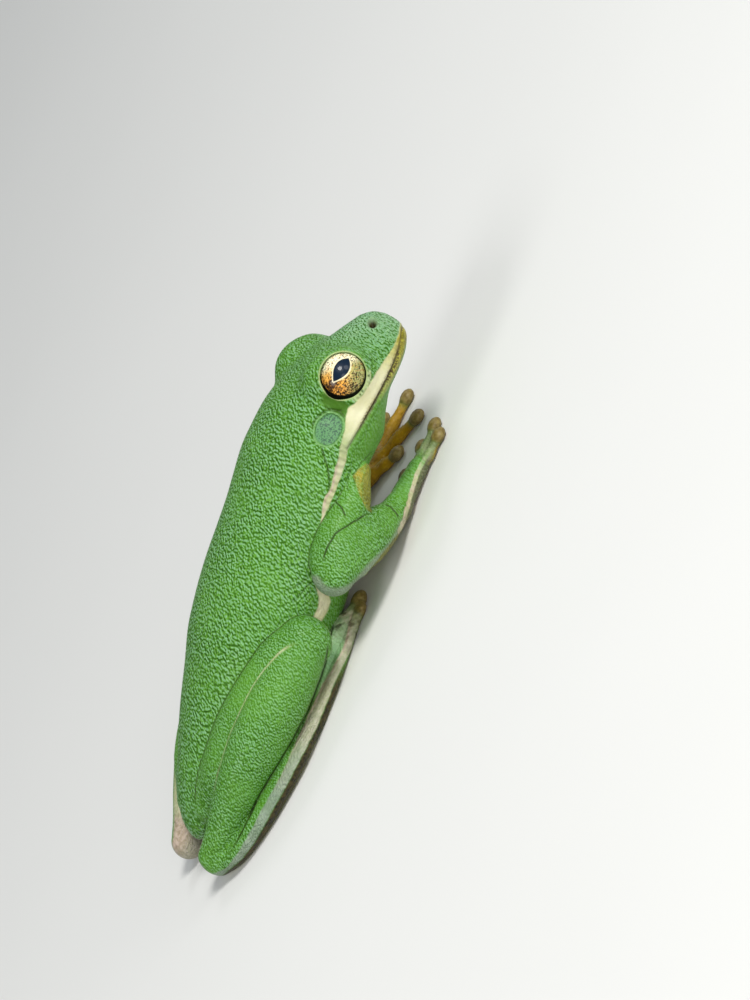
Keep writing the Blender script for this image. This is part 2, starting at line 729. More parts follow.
def read_field(values, corner, points):
    """Field value and slope at points between the samples."""
    place = (points - corner) / GRID_STEP
    base = np.clip(np.floor(place).astype(np.int64), 1, np.array(values.shape) - 3)
    part = place - base
    value = np.zeros(len(points))
    slope = np.zeros((len(points), 3))
    for offset in np.ndindex(2, 2, 2):
        sides = [part[:, a] if offset[a] else 1 - part[:, a] for a in range(3)]
        here = values[tuple((base + np.array(offset)).T)]
        value += here * sides[0] * sides[1] * sides[2]
        for axis in range(3):
            sign = 1 if offset[axis] else -1
            others = [sides[a] for a in range(3) if a != axis]
            slope[:, axis] += here * sign * others[0] * others[1]
    return value, slope / GRID_STEP


def settle(vertices, quads, values, corner):
    """Evens out the vertices and brings them back to the zero level."""
    edges = np.concatenate([quads[:, [i, (i + 1) % 4]] for i in range(4)])
    for _ in range(SETTLING_ROUNDS):
        total = np.zeros_like(vertices)
        count = np.zeros(len(vertices))
        for a, b in ((0, 1), (1, 0)):
            for axis in range(3):
                total[:, axis] += np.bincount(
                    edges[:, a], vertices[edges[:, b], axis], len(vertices)
                )
            count += np.bincount(edges[:, a], minlength=len(vertices))
        vertices = 0.5 * vertices + 0.5 * total / count[:, None]
        for _ in range(2):
            value, slope = read_field(values, corner, vertices)
            steep = np.maximum((slope * slope).sum(axis=1), 0.05)
            step = slope * (value / steep)[:, None]
            vertices -= np.clip(step, -GRID_STEP, GRID_STEP)
    return vertices


def divided(vertices, quads):
    """Each quad cut in four and the whole surface rounded as it is cut."""
    count = len(vertices)
    centres = vertices[quads].mean(axis=1)
    pairs = np.stack([quads, np.roll(quads, -1, axis=1)], axis=2).reshape(-1, 2)
    pairs = np.sort(pairs, axis=1)
    keys, edge_of = np.unique(pairs[:, 0] * count + pairs[:, 1], return_inverse=True)
    ends = np.stack([keys // count, keys % count], axis=1)
    beside = np.repeat(np.arange(len(quads)), 4)

    def gathered(index, values, size):
        return np.stack([np.bincount(index, column, size) for column in values.T], axis=1)

    shared = np.bincount(edge_of, minlength=len(keys))[:, None]
    both_ends = vertices[ends].sum(axis=1)
    both_faces = gathered(edge_of, centres[beside], len(keys))
    edge_points = (both_ends + both_faces) / (2 + shared)
    faces_met = np.bincount(quads.ravel(), minlength=count)[:, None]
    face_mean = gathered(quads.ravel(), centres[beside], count) / faces_met
    edges_met = np.bincount(ends.ravel(), minlength=count)[:, None]
    halves = np.repeat(both_ends / 2, 2, axis=0)
    edge_mean = gathered(ends.ravel(), halves, count) / edges_met
    corners = (face_mean + 2 * edge_mean + (faces_met - 3) * vertices) / faces_met
    edge_of = edge_of.reshape(-1, 4) + count
    middle = np.arange(len(quads)) + count + len(keys)
    cut = [
        np.stack([quads[:, i], edge_of[:, i], middle, edge_of[:, i - 1]], axis=1)
        for i in range(4)
    ]
    return np.concatenate([corners, edge_points, centres]), np.concatenate(cut)


def added(name, data):
    """A new object in the scene."""
    made = bpy.data.objects.new(name, data)
    bpy.context.scene.collection.objects.link(made)
    return made


def mesh_object(name, vertices, faces):
    mesh = bpy.data.meshes.new(name)
    faces = np.asarray(faces)
    mesh.vertices.add(len(vertices))
    mesh.vertices.foreach_set("co", np.ascontiguousarray(vertices, np.float32).ravel())
    mesh.loops.add(faces.size)
    mesh.loops.foreach_set("vertex_index", faces.astype(np.int32).ravel())
    mesh.polygons.add(len(faces))
    starts = np.arange(0, faces.size, faces.shape[1], dtype=np.int32)
    mesh.polygons.foreach_set("loop_start", starts)
    mesh.update(calc_edges=True)
    return added(name, mesh)


def skin_surface():
    """The smooth skin: vertices and normals in design millimetres, and its mesh."""
    values, corner = sampled_field()
    vertices, quads = surface_nets(values, corner)
    vertices = settle(vertices, quads, values, corner)
    vertices, quads = divided(vertices, quads)
    skin = mesh_object("skin", vertices * MM, quads)
    normals = np.zeros(vertices.size, np.float32)
    skin.data.vertex_normals.foreach_get("vector", normals)
    return skin, vertices, normals.reshape(-1, 3).astype(float)


# Where things lie


def seen(points):
    """Places in the photograph, forward and up, of the side each point is on."""
    mirrored = points * (1, -1, 1)
    turned = np.where(points[:, 1:2] > 0, mirrored, points)
    rel = turned - (TARGET + BACKWARD * DISTANCE)
    depth = -(rel @ BACKWARD)
    return np.stack(
        [
            TARGET_SEEN[0] + DISTANCE * rel[:, 0] / depth,
            TARGET_SEEN[1] + DISTANCE * (rel @ UPWARD) / depth,
        ],
        axis=1,
    )


def part_shares(points):
    """Each part's distance from each point, its share of it, and the place along it."""
    names = ["body"] + [f"{p.name}_{p.side}" for p in PARTS]
    gaps = np.full((len(names), len(points)), 9.0, np.float32)
    along = np.zeros_like(gaps)
    gaps[0] = head_gap(points)
    for number, part in enumerate(PARTS, 1):
        near = part.near(points)
        gaps[number, near], along[number, near] = part.gap_along(points[near])
    lowest = np.partition(gaps, 1, axis=0)[:2]
    shares = np.exp(-(gaps - lowest[0]) / SHARE_SOFTNESS)
    shares /= shares.sum(axis=0)
    tables = (dict(zip(names, table)) for table in (gaps, shares, along))
    return *tables, lowest[0], lowest[1] - lowest[0]


# Colours over the green: the noise that varies each, from where to where, and two shades
SHADES = {
    "pale": ("patchy", 0.3, 0.7, (0.52, 0.5, 0.28), (0.62, 0.6, 0.4)),
    "ash": ("patchy", 0.3, 0.7, (0.15, 0.22, 0.14), (0.24, 0.31, 0.23)),
    "gold": ("fine", 0.35, 0.65, (0.21, 0.2, 0.012), (0.37, 0.35, 0.04)),
    "rosy": ("fine", 0.35, 0.65, (0.33, 0.26, 0.18), (0.49, 0.39, 0.31)),
    "ochre": ("patchy", 0.3, 0.7, (0.27, 0.14, 0.001), (0.4, 0.23, 0.004)),
    "brown": ("fine", 0.35, 0.65, (0.012, 0.011, 0.001), (0.05, 0.038, 0.008)),
    "pad": ("fine", 0.3, 0.7, (0.135, 0.092, 0.018), (0.23, 0.175, 0.055)),
}
PAINTS = ("olive", *SHADES)


def height_at(line, forward):
    return np.interp(forward, *np.array(line).T)


def waves(along, length, drift=0.0):
    return np.sin(along * 2 * math.pi / length + drift)


def band(place, top, bottom, soft=0.07):
    """1 between two lines of the picture, fading over a soft edge."""
    forward, up = place.T
    inside = ramp(height_at(top, forward) - up, -soft, soft)
    inside *= ramp(up - height_at(bottom, forward), -soft, soft)
    inside *= ramp(forward - top[0][0], -soft, soft)
    return inside * ramp(top[-1][0] - forward, -soft, soft)


class Skin:
    """The skin's vertices, how far each is pushed out, and how it is marked."""

    def __init__(self, points, normals):
        self.points, self.normals = points, normals
        self.x, _, self.z = points.T
        self.marks = {name: np.zeros(len(points)) for name in PAINTS}
        self.push = np.zeros(len(points))
        found = part_shares(points)
        self.gaps, self.share, self.along, self.lowest, self.closeness = found
        side = np.where(points[:, 1] > 0, 1.0, -1.0)
        self.outward = normals[:, 1] * side
        self.up = normals[:, 2]
        self.place = seen(points)
        faces = self.up * BACKWARD[2] - self.outward * BACKWARD[1]
        self.facing = ramp(faces, -0.1, 0.2)
        self.wander = value_noise(points, 2.6, 11)
        self.fine = value_noise(points, 0.5, 12)
        self.tiny = value_noise(points, 0.24, 21)
        self.smooth_skin = np.zeros(len(points))
        self.crease = np.zeros(len(points))
        self.quiet = np.zeros(len(points))

    def add(self, name, amount):
        self.marks[name] = np.clip(self.marks.get(name, 0.0) + amount, 0, 1)

    def raised(self, name, amount):
        """Raises one of the skin's own values where it is below the amount."""
        setattr(self, name, np.maximum(getattr(self, name), amount))

    def fade(self, name, amount):
        self.marks[name] = self.marks[name] * (1 - amount)

    def cover(self, name, amount):
        """Paints over the other colours."""
        for other in PAINTS:
            if other == name:
                self.marks[name] = np.maximum(self.marks[name], amount)
            else:
                self.fade(other, amount)

    def owned(self, *kinds):
        """Share of the parts whose names start so, on both sides of the frog."""
        total = np.zeros(len(self.points))
        for name, share in self.share.items():
            if name.startswith(kinds):
                total += share
        return np.clip(total, 0, 1)

    def side_of(self, side):
        return self.points[:, 1] * side > 0

    def trunk(self):
        """Cream belly, the stripe from the lip, and the cream patch at the flank."""
        body = self.share["body"]
        forward, up = self.place.T
        throat = 0.22 * ramp(self.x, 35, 38)
        below = -self.up + 0.05 * self.wander - throat
        fold = self.facing * ramp(forward, 22, 24) * ramp(31 - forward, 0, 2)
        self.cover("pale", body * ramp(below, 0.72, 0.9) * (1 - fold))
        patch = band(self.place, CREAM_PATCH_TOP, CREAM_PATCH_BOTTOM, 0.12)
        self.cover("pale", body * patch * self.facing)
        self.add("rosy", 0.3 * body * patch * self.facing * ramp(self.fine, 0.1, 0.5))
        ragged = self.place + np.stack([0 * forward, 0.05 * self.fine], axis=1)
        stripe = band(ragged, STRIPE_TOP, STRIPE_BOTTOM) * body * self.facing
        self.cover("pale", stripe)
        rear = ramp(forward, 33, 34) * ramp(39.5 - forward, 0, 2)
        edge = ramp(up - height_at(STRIPE_TOP, forward) + 0.32, 0, 0.2)
        self.add("rosy", 0.6 * stripe * rear * edge)
        front = ramp(forward, 46.5, 51.0) * stripe
        self.add("gold", 0.8 * front)
        drift = 2.6 * value_noise(self.points, 0.9, 31)
        beads = 0.5 + 0.5 * waves(forward, BEAD_LENGTH, drift)
        behind = ramp(forward, 33.5, 34.5) * ramp(41.2 - forward, 0, 1.5)
        self.push += 0.13 * (beads**0.6 - 0.6) * stripe * behind
        dull = (0.25 + 0.4 * (1 - beads)) * stripe * behind
        self.fade("pale", 0.6 * dull)
        self.add("rosy", 0.5 * dull)
        self.fade("pale", 0.4 * bell(forward - 40.2, 1.5) * stripe)
        self.push += 0.06 * stripe
        self.raised("quiet", stripe)

    def mouth(self):
        """The closed mouth's line, with dark specks along it and golden lips."""
        forward, up = self.place.T
        on_head = self.share["body"] * self.facing * ramp(forward, 39.5, 40.5)
        line = height_at(MOUTH, forward)
        gap = np.abs(up - line) * 0.97
        self.push -= 0.2 * bell(gap, 0.12) * on_head
        self.push += 0.07 * bell(gap - 0.38, 0.22) * on_head
        lip = ramp(line - up, 0, 0.08) * ramp(up - line + 0.5, 0, 0.14) * on_head
        lip *= ramp(forward, 44.5, 48.0)
        self.cover("pale", lip * 0.4)
        self.add("gold", lip * (0.75 + 0.2 * ramp(forward, 47.0, 50.0)))
        under = ramp(line - up, 0, 0.1) * ramp(up - line + 0.7, 0, 0.3) * on_head
        self.add("olive", 0.35 * under * (1 - lip))
        tip = on_head * ramp(forward, 50.3, 51.8)
        tip *= ramp(height_at(STRIPE_TOP, forward) - up, 0, 0.1)
        self.add("gold", 0.6 * tip)
        frost = 0.75 * ramp(forward + 0.5 * up, 53.2, 57.0) + 0.25 * ramp(forward, 47.5, 49.5)
        self.add("frost", np.clip(frost, 0, 1) * self.share["body"] * (self.x > 44))
        dark = bell(gap, 0.1) * on_head
        stain = bell(up - line - 0.08, 0.16) * on_head * ramp(forward, 41.5, 44)
        self.add("ochre", 0.4 * stain * (0.8 + 0.4 * self.wander))
        self.add("brown", 0.2 * stain)
        above = up - line
        specks = bell(above - 0.05, 0.19 + 0.05 * ramp(forward, 43, 45)) * on_head
        specks *= ramp(forward, 41.8, 43) * ramp(51.5 - forward, 0, 2.5)
        fade = 1 - 0.5 * ramp(forward, 48.5, 51.5)
        fade *= 0.5 + 0.5 * ramp(forward + 0.4 * self.fine, 41.0, 44.0)
        self.add("brown", 0.85 * dark * fade)
        self.add("speck", 0.95 * specks)
        self.add("speck", 0.45 * lip * ramp(forward, 46, 48))
        quiet = ramp(0.5 - gap, 0, 0.2) * ramp(up - line + 0.35, 0, 0.2) * on_head
        self.raised("quiet", quiet)

    def folds(self):
        """Creases in the skin, and the dark lines where two parts press together."""
        for line, depth, width, dark, owners in FOLDS:
            gap, along = line_gap(self.place + 0.03 * self.fine[:, None], line)
            taper = ramp(along, 0.0, 0.12) * ramp(1 - along, 0.0, 0.12)
            here = self.owned(*owners) * self.facing * taper
            self.push -= depth * bell(gap, width) * here
            self.push += 0.3 * depth * bell(gap - 2.4 * width, 1.3 * width) * here
            drawn = np.clip(1.7 * bell(gap, 0.058), 0, 1)
            self.raised("crease", dark * drawn * here)
        digits = self.owned("toe", "finger")
        self.raised("crease", 0.4 * digits * bell(self.closeness, 0.07))
        for side in (RIGHT, LEFT):
            for first, second, start, end in PRESSED:
                one = self.gaps["body" if first == "body" else f"{first}_{side}"]
                other = self.gaps[f"{second}_{side}"]
                pressed = bell(one - other, 0.075) * (np.minimum(one, other) < 0.5)
                pressed *= ramp(self.x, start, start + 1.2) * self.side_of(side)
                pressed *= ramp(end - self.x, 0, 1.2)
                self.raised("crease", pressed * (self.lowest > one - 0.3))
            thigh, shank = self.gaps[f"thigh_{side}"], self.gaps[f"shank_{side}"]
            line = bell(thigh - shank, 0.07) * (np.minimum(thigh, shank) < 0.8)
            line *= self.owned("thigh", "shank") * ramp(self.up + self.outward, 0.2, 0.6)
            line *= ramp(self.place[:, 0], 1.5, 4) * ramp(22.4 - self.place[:, 0], 0, 1.5)
            line *= 0.8 + 0.4 * self.fine
            self.cover("pale", np.clip(0.75 * line, 0, 1))
            self.push += 0.08 * line

    def eyes(self):
        """The lids' rims, the hollows behind them and the specked lower lids."""
        for side in (RIGHT, LEFT):
            local = (self.points - sided(ORBIT, side)) @ EYE_AXES[side].T
            ahead, above, away = local.T
            near = (np.linalg.norm(local, axis=1) < 5) & (away > -0.6)
            around = np.hypot(ahead / LID_OPENING[0], above / LID_OPENING[1]) * 2.1
            rim = bell(around - 2.2, 0.06) * near
            self.push += 0.05 * rim
            self.cover("pale", 0.5 * rim)
            groove = bell(around - 2.6, 0.12) * near * ramp(above - 0.4 * ahead, 0.2, 1.4)
            self.push -= 0.05 * groove
            self.add("olive", 0.3 * groove)
            ring = ramp(2.34 - around, 0, 0.12) * near
            self.raised("smooth_skin", ring)
            behind = ramp(-ahead, 1.85, 2.3) * ramp(3.5 + ahead, 0, 0.6) * near
            behind *= ramp(1.8 - np.abs(above + 0.6), 0, 0.9)
            self.add("olive", behind)
            self.push -= 0.16 * behind
            self.raised("smooth_skin", 0.9 * behind)
            lower = ramp(-above, 1.5, 1.95) * ramp(2.62 - around, 0, 0.12) * near
            self.cover("pale", 0.5 * lower * ramp(1.9 - np.abs(ahead), 0, 0.6))
            shaded = 0.3 + 0.7 * ramp(-0.8 * ahead - 0.6 * above, -0.8, 0.6)
            self.cover("brown", ramp(2.14 - around, 0, 0.05) * near * shaded)
        for spot in ((45.0, 8.33), (45.38, 8.3), (46.9, 8.42)):
            gap = np.hypot(*(self.place - spot).T)
            self.cover("brown", bell(gap, 0.09) * self.facing)

    def eardrums(self):
        """Flat round drums in thin raised rims."""
        forward, up = self.place.T
        across, high = forward - EARDRUM[0], up - EARDRUM[1]
        high = np.where(high > 0, high * (1 + 0.12 * ramp(np.abs(across), 0, 1.2)), high)
        sideways = np.abs(across / EARDRUM_RADII[0]) ** EARDRUM_POWER
        upward = np.abs(high / EARDRUM_RADII[1]) ** EARDRUM_POWER
        reach = (sideways + upward) ** (1 / EARDRUM_POWER)
        near = self.share["body"] * self.facing * (self.outward > 0.3)
        pan = ramp(1.0 - reach, 0, 0.14) * near
        rim = bell(reach - 1.02, 0.055) * near
        self.push += 0.07 * rim - 0.12 * pan * (1 - 0.35 * ramp(1 - reach, 0.3, 0.9))
        self.raised("smooth_skin", np.clip(pan + rim, 0, 1))
        self.add("drum", pan)
        self.add("frost", 0.5 * rim)
        border = bell(reach - 1.17, 0.07) * near * ramp(across + high, 0.3, 1.2)
        self.push -= 0.1 * border
        self.raised("crease", 0.6 * border)

    def nostrils(self):
        """Round pits with a raised pale edge."""
        gap = np.hypot(*(self.place - NOSTRIL).T)
        here = self.facing * (self.z > 9) * (self.x > 48)
        self.push -= 0.75 * bell(gap, 0.29) * here
        self.push += 0.15 * bell(gap - 0.5, 0.16) * here
        self.raised("crease", 0.8 * bell(gap, 0.17) * here)
        self.add("frost", 0.5 * bell(gap - 0.5, 0.14) * here)
        self.cover("brown", np.clip(2.4 * bell(gap, 0.28), 0, 1) * here)
        self.add("ochre", 0.4 * bell(gap, 0.3) * here)
        self.raised("smooth_skin", ramp(0.6 - gap, 0, 0.25) * here)

    def legs(self):
        """Pale hidden sides, the foot's white and brown bands, and its crumpled end."""
        up, outward = self.up, self.outward
        forward, height = self.place.T
        thigh, shank = self.owned("thigh"), self.owned("shank")
        self.cover("pale", thigh * ramp(-(outward + 1.2 * up), 0.0, 0.4) * (1 - self.facing))
        self.cover("pale", shank * ramp(-(outward + 0.35 * up), 0.05, 0.3) * (1 - self.facing))
        heel = ramp(3.0 - self.x, 0, 1.2) * ramp(-outward, 0, 0.3)
        foot = self.owned("tarsus", "toe3", "toe4")
        foot = np.where(self.x < 28.5, foot, 0)
        uneven = 0.05 * self.fine + 0.05 * self.wander
        ragged = self.place + np.stack([0 * forward, uneven], axis=1)
        white = band(ragged, FOOT_GREEN_EDGE, FOOT_WHITE_EDGE, 0.08)
        below = ramp(height_at(FOOT_WHITE_EDGE, forward) - ragged[:, 1], -0.08, 0.08)
        near = foot * self.facing
        self.cover("ash", near * white * (0.95 - 0.5 * ramp(forward, 10, 22)))
        self.add("pale", near * white * 0.3 * ramp(forward, 8, 16))
        self.add("frost", 0.75 * near * ramp(forward, 16, 23) * (1 - below))
        warm = ramp(forward + 2 * self.wander, 8, 18)
        self.add("rosy", near * white * (0.05 + 0.45 * warm))
        self.cover("brown", near * below * (1 - 0.5 * ramp(forward, 20, 23)))
        top_edge = bell(ragged[:, 1] - height_at(FOOT_GREEN_EDGE, forward), 0.12)
        self.add("rosy", 0.5 * near * top_edge * warm)
        inner = self.owned("tarsus") * (1 - self.facing)
        self.cover("pale", inner * 0.8 * (1 - ramp(up, 0.6, 0.9)))
        self.add("rosy", 0.25 * inner)
        self.cover("ash", 0.6 * self.owned("tarsus", "shank") * heel)
        toward = ramp(-self.normals[:, 1], -0.15, 0.15) * self.side_of(LEFT)
        far = self.owned("tarsus", "shank") * toward * ramp(9 - self.x, 0, 1.5)
        far *= 1 - ramp(up, 0.9, 0.98)
        self.cover("pale", 0.6 * far)
        self.add("ash", 0.7 * far * ramp(4.5 - self.z, 0, 2.5))
        self.add("rosy", 0.3 * far)
        flush = ramp(up + 0.3 * self.wander, -0.2, 0.7)
        self.add("rosy", (0.25 + 0.5 * flush) * self.owned("tarsus", "shank") * heel)
        under = self.owned("tarsus", "toe") * ramp(-up, 0.75, 0.95)
        self.cover("ochre", 0.5 * under)
        end = foot * ramp(forward + 0.4 * self.fine, 25.4, 26.8) * self.facing
        self.cover("rosy", 0.5 * end)
        crumpled = foot * self.facing * ramp(forward, 23.0, 25.5)
        self.add("rosy", 0.3 * crumpled * ramp(self.wander, -0.2, 0.3))
        self.add("brown", 0.7 * crumpled * ramp(self.fine + 0.5 * self.wander, 0.1, 0.5))
        wrinkles = waves(forward + 0.8 * height + 0.6 * self.wander, TOE_WRINKLE_LENGTH)
        self.push += 0.025 * wrinkles * crumpled * ramp(forward, 24.5, 26)
        self.cover("brown", 0.75 * foot * ramp(forward + 0.3 * self.fine, 26.9, 27.5))
        inner_toes = self.owned("toe0", "toe1", "toe2")
        self.cover("ochre", inner_toes * (1 - 0.7 * ramp(up, 0.3, 0.8)))

    def arms(self):
        """The arm's ashen edge, the hand's stripe, the armpit and ochre hidden sides."""
        up, outward = self.up, self.outward
        forward, height = self.place.T
        right = self.side_of(RIGHT)
        arm = self.owned("upper_arm", "forearm")
        palm, fingers = self.owned("palm"), self.owned("finger")
        gap, _ = line_gap(self.place + 0.08 * self.wander[:, None], ARM_EDGE)
        edge = ramp(0.85 - gap, 0, 0.45) * self.facing * (arm + palm) * right
        edge *= ramp(37.2 - forward, 0, 1)
        self.cover("ash", 0.75 * edge)
        self.add("rosy", 0.1 * edge)
        under = ramp(height_at(ARM_BROWN, forward) - height + 0.05 * self.fine, 0, 0.12)
        low = under * (outward > -0.6) * arm * right * ramp(forward, 28.3, 30)
        self.cover("gold", 0.8 * low)
        self.add("brown", 0.5 * low)
        self.add("frost", 0.12 * palm * self.facing * right)
        gap, _ = line_gap(self.place, HAND_STRIPE)
        stripe = ramp(0.24 - gap + 0.05 * self.tiny, 0, 0.1) * self.facing
        stripe *= (arm + palm + fingers) * right
        stripe *= ramp(43.2 - forward + 0.5 * self.fine, 0, 3.0)
        self.cover("pale", (0.75 + 0.25 * ramp(self.fine, -0.2, 0.4)) * stripe)
        self.add("rosy", (0.3 + 0.4 * ramp(self.tiny, -0.2, 0.4)) * stripe)
        gap, _ = line_gap(self.place, HAND_EDGE)
        low = ramp(0.26 - gap, 0, 0.12) + (height < height_at(HAND_EDGE, forward))
        low = np.clip(low, 0, 1) * self.facing * (arm + palm + fingers) * right
        low *= (forward > 35.5) * ramp(44.2 - forward + 0.4 * self.fine, 0, 1.8)
        chest = (self.owned("upper_arm") + self.share["body"]) * self.facing * (forward > 35.9)
        chest *= (forward < 39.7) * (self.z < 8)
        pit = band(self.place, ARMPIT_TOP, ARM_UNDER, 0.12) * chest
        self.add("gold", 0.5 * pit)
        self.add("ochre", (0.15 + 0.3 * ramp(self.fine, -0.2, 0.5)) * pit)
        below = ramp(height_at(ARM_UNDER, forward) - height, -0.12, 0.2) * chest
        self.cover("gold", 0.45 * below)
        self.add("ochre", 0.3 * below)
        self.add("brown", 0.3 * below)
        hidden = (1 - self.facing) * (arm + palm)
        self.cover("ochre", 0.55 * hidden)
        left = ~right
        slope = 0.5 * outward + 0.75 * up + 0.4 * self.normals[:, 0]
        turned = arm * left * self.facing
        self.cover("pale", 0.5 * turned * ramp(0.25 - slope, 0, 0.12))
        self.cover("brown", 0.7 * turned * ramp(-0.1 - slope, 0, 0.12))
        hand = (palm + fingers) * left
        self.cover("ochre", hand * (1 - 0.25 * ramp(up + 0.4 * outward, 0.75, 1.1)))
        inner = palm * right * (1 - self.facing)
        self.cover("ochre", inner)
        self.cover("brown", 0.6 * low * (1 - 0.6 * stripe))
        self.add("rosy", 0.5 * low)
        topside = ramp(up + 0.6 * outward, 0.0, 0.6)
        near = fingers * right
        near *= ramp(forward + 0.5 * self.fine, 41.2, 44.0)
        self.cover("ochre", near * (1 - 0.9 * topside))
        self.add("ash", 0.45 * near * topside)
        self.add("rosy", 0.35 * near)
        self.cover("brown", 0.4 * near * ramp(forward + 0.6 * self.fine, 42.6, 44.8))
        wrinkles = 0.5 + 0.5 * waves(forward + 0.35 * height, HAND_WRINKLE_LENGTH)
        where = (palm + 0.6 * fingers) * ramp(forward, 38.5, 40.5) * self.facing
        self.push -= 0.03 * wrinkles * where

    def pads(self):
        """Brown discs, and some of their colour on the ends of the digits."""
        pads = np.zeros(len(self.points))
        for name, share in self.share.items():
            if "_disc" in name:
                pads += share
            elif name.startswith(("toe", "finger")):
                pads += 0.55 * share * ramp(self.along[name], 0.82, 1.0)
        pads = np.clip(pads, 0, 1)
        self.cover("pad", pads)
        return pads

    def grain(self, pads):
        """How strongly the skin's grains stand out in each place."""
        body = self.share["body"]
        limb = self.owned("thigh", "shank", "tarsus", "upper_arm", "forearm")
        low_belly = ramp(-self.up, 0.3, 0.8) * body
        throat = ramp(height_at(MOUTH, self.place[:, 0]) - self.place[:, 1], 0, 0.4)
        throat *= ramp(self.place[:, 0], 38.5, 40)
        coarse = body * (1 - 0.45 * low_belly) + (0.7 + 0.15 * self.wander) * limb
        coarse = np.clip(coarse, 0, 1)
        paint = np.maximum(self.marks["pale"], self.marks["brown"])
        coarse *= 1 - self.smooth_skin
        coarse *= 1 - 0.8 * self.quiet
        coarse *= 1 - 0.5 * throat
        coarse *= 1 - 0.6 * paint * (1 - low_belly)
        coarse *= 1 - 0.7 * self.crease
        coarse += 0.45 * self.owned("palm") + 0.3 * self.owned("finger", "toe")
        coarse *= 1 - pads
        self.add("coarse", coarse * np.clip(0.9 + 0.25 * self.wander, 0, 1))
        self.add("limb", limb)
        self.push += 0.04 * self.wander * body * (1 - self.smooth_skin)

    def finish(self):
        self.trunk()
        self.mouth()
        self.legs()
        self.arms()
        self.eyes()
        self.eardrums()
        self.nostrils()
        self.folds()
        self.grain(self.pads())
        self.add("crease", self.crease)


def skin_mesh():
    """The finished skin object, with its marks stored on its vertices."""
    skin, points, normals = skin_surface()
    pushes, painted = [], {}
    for start in range(0, len(points), VERTICES_AT_ONCE):
        some = slice(start, start + VERTICES_AT_ONCE)
        dressed = Skin(points[some], normals[some])
        dressed.finish()
        pushes.append(dressed.push)
        for name, values in dressed.marks.items():
            painted.setdefault(name, []).append(values.astype(np.float32))
    moved = points + normals * np.concatenate(pushes)[:, None]
    moved[:, 2] = np.maximum(moved[:, 2], 0.0)
    mesh = skin.data
    placed = (moved + SHIFT) * MM
    mesh.vertices.foreach_set("co", placed.astype(np.float32).ravel())
    for name, values in painted.items():
        layer = mesh.attributes.new(name, "FLOAT", "POINT")
        layer.data.foreach_set("value", np.concatenate(values))
    mesh.update()
    mesh.shade_smooth()
    return skin


# Materials


class Value:
    """What a node gives, with arithmetic that adds further nodes."""

    def __init__(self, tree, socket):
        self.tree, self.socket = tree, socket

    def calculated(self, operation, other=0.0, swapped=False):
        made = self.tree.nodes.new("ShaderNodeMath")
        made.operation = operation
        pair = (other, self) if swapped else (self, other)
        for socket, value in zip(made.inputs, pair):
            connect(self.tree, socket, value)
        return Value(self.tree, made.outputs[0])

    def __add__(self, other):
        return self.calculated("ADD", other)

    def __sub__(self, other):
        return self.calculated("SUBTRACT", other)

    def __rsub__(self, other):
        return self.calculated("SUBTRACT", other, swapped=True)

    def __mul__(self, other):
        return self.calculated("MULTIPLY", other)

    def __truediv__(self, other):
        return self.calculated("DIVIDE", other)

    def __pow__(self, other):
        return self.calculated("POWER", other)

    def __abs__(self):
        return self.calculated("ABSOLUTE")


def connect(tree, socket, value):
    """Gives a socket a number or colour, or links a node's value to it."""
    if isinstance(value, Value):
        tree.links.new(value.socket, socket)
    else:
        socket.default_value = value


class Shader:
    """A short way to write a material's nodes."""

    def __init__(self, name):
        self.material = bpy.data.materials.new(name)
        self.material.use_nodes = True
        self.tree = self.material.node_tree
        self.surface = self.tree.nodes["Principled BSDF"].inputs

    def set(self, **inputs):
        """Sets inputs of the surface, with _ for a space in their names."""
        for name, value in inputs.items():
            connect(self.tree, self.surface[name.replace("_", " ")], value)

    def node(self, kind, out=0, **inputs):
        made = self.tree.nodes.new("ShaderNode" + kind)
        for key, value in inputs.items():
            connect(self.tree, made.inputs[key], value)
        return Value(self.tree, made.outputs[out])

    def parts(self, vector):
        """A vector's three parts."""
        made = self.tree.nodes.new("ShaderNodeSeparateXYZ")
        connect(self.tree, made.inputs[0], vector)
        return [Value(self.tree, part) for part in made.outputs]

    def mix(self, share, first, second):
        made = self.tree.nodes.new("ShaderNodeMix")
        made.data_type = "RGBA"
        connect(self.tree, made.inputs["Factor"], share)
        for socket, shade in ((made.inputs[6], first), (made.inputs[7], second)):
            connect(self.tree, socket, shade if isinstance(shade, Value) else (*shade, 1.0))
        return Value(self.tree, made.outputs[2])

    def between(self, value, low, high, start=0.0, end=1.0):
        """From start to end, smoothly, as the value goes from low to high."""
        made = self.tree.nodes.new("ShaderNodeMapRange")
        made.interpolation_type = "SMOOTHSTEP"
        for socket, number in zip(made.inputs, (value, low, high, start, end)):
            connect(self.tree, socket, number)
        return Value(self.tree, made.outputs[0])

    def mark(self, name, output="Fac"):
        made = self.tree.nodes.new("ShaderNodeAttribute")
        made.attribute_name = name
        return Value(self.tree, made.outputs[output])

    def noise(self, place, scale, detail=2.0, roughness=0.5):
        settings = {"Scale": scale, "Detail": detail, "Roughness": roughness}
        return self.node("TexNoise", Vector=place, **settings)


def grain_nodes(shader, place):
    """Small grains: their height, and their darker hind and paler front slopes."""
    ahead, across, above = shader.parts(place)
    slanted = ahead * 1.15 - above * 0.35
    across, above = across * GRAIN_WIDTH, above * GRAIN_WIDTH
    limb = shader.mark("limb")

    def grains(step):
        spot = shader.node("CombineXYZ", X=slanted + step, Y=across, Z=above)
        large, small = (shader.noise(spot, scale, 0.5) for scale in GRAIN_SCALES)
        return large + (small - large) * limb

    before, after = grains(-GRAIN_STEP), grains(GRAIN_STEP)
    slope = after - before
    coarse = shader.mark("coarse")
    height = shader.between(before + after, 0.6, 1.32) * coarse
    dark = shader.between(slope, 0.0, 0.13) * coarse
    bright = shader.between(slope, 0.0, -0.15) * coarse
    return height, dark, bright


